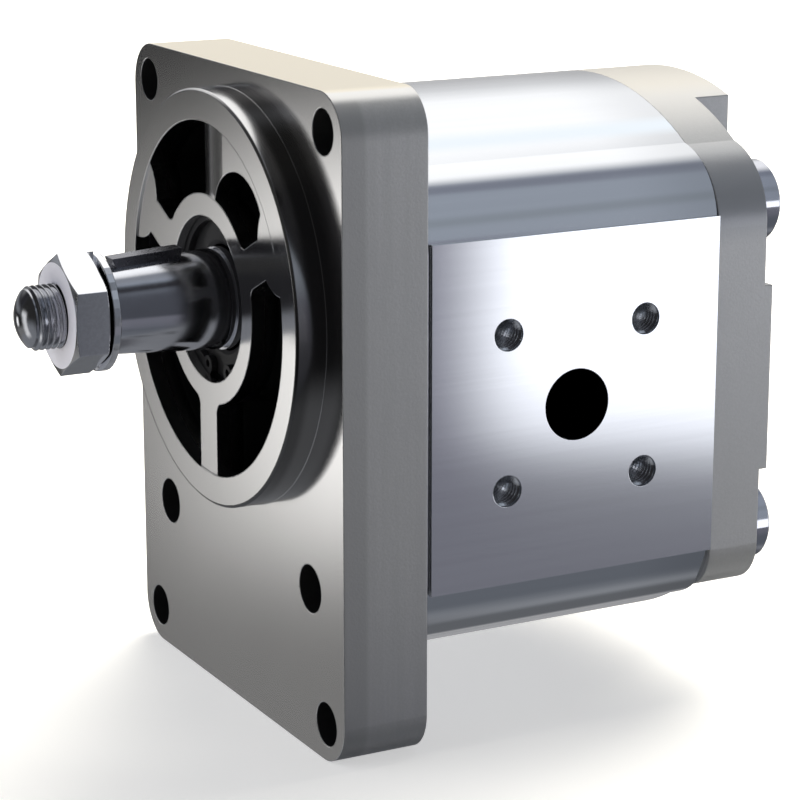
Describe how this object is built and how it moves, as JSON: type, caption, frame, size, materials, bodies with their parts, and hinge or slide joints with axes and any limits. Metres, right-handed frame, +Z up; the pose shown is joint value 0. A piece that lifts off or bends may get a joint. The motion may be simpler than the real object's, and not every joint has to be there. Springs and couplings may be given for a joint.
{
  "type": "hydraulic pump",
  "caption": "External gear pump with a rectangular bolted flange, ribbed centring pilot, tapered keyed shaft with nut, side ports and a bolted rear cover.",
  "frame": {"origin": "centre of the centring pilot on the flange's mounting face", "axes": "-Y along the drive shaft out of the flange, +Z up towards the drive shaft's side of the body, +X towards the pressure port"},
  "size_m": [0.1212, 0.1874, 0.164],
  "materials": {
    "cast_alloy": "satin machined faces, fine blasted cast sides",
    "extruded_alloy": "smooth drawn profile",
    "hardened_steel": "ground",
    "block_alloy": "machined",
    "bush_bronze": "bored",
    "seal_rubber": "moulded",
    "backup_plastic": "moulded",
    "spring_steel": "tempered",
    "nut_steel": "bright cold formed",
    "screw_steel": "dark oiled"
  },
  "bodies": {
    "housing": {"front_cover": "cast_alloy", "body": "extruded_alloy", "rear_cover": "cast_alloy", "front_bearing_block": "block_alloy", "rear_bearing_block": "block_alloy", "front_drive_bush": "bush_bronze", "front_driven_bush": "bush_bronze", "rear_drive_bush": "bush_bronze", "rear_driven_bush": "bush_bronze", "front_pressure_seal": "seal_rubber", "rear_pressure_seal": "seal_rubber", "front_backup_ring": "backup_plastic", "rear_backup_ring": "backup_plastic", "front_body_seal": "seal_rubber", "rear_body_seal": "seal_rubber", "shaft_seal": "seal_rubber", "seal_spring": "spring_steel", "seal_retaining_ring": "spring_steel", "cover_screws": "screw_steel", "dowel_pins": "hardened_steel"},
    "drive_shaft": {"drive_gear": "hardened_steel", "woodruff_key": "hardened_steel", "spring_washer": "spring_steel", "shaft_nut": "nut_steel"},
    "driven_shaft": {"driven_gear": "hardened_steel"}
  },
  "joints": [
    {"name": "drive_spin", "type": "hinge", "parent": "housing", "child": "drive_shaft", "pos_m": [0, 0, 0], "axis": [0, 1, 0], "continuous": true},
    {"name": "driven_spin", "type": "hinge", "parent": "housing", "child": "driven_shaft", "pos_m": [0, 0.064, -0.044], "axis": [0, 1, 0], "continuous": true}
  ],
  "couplings": [
    {"joint": "driven_spin", "follows": "drive_spin", "ratio": -1}
  ]
}
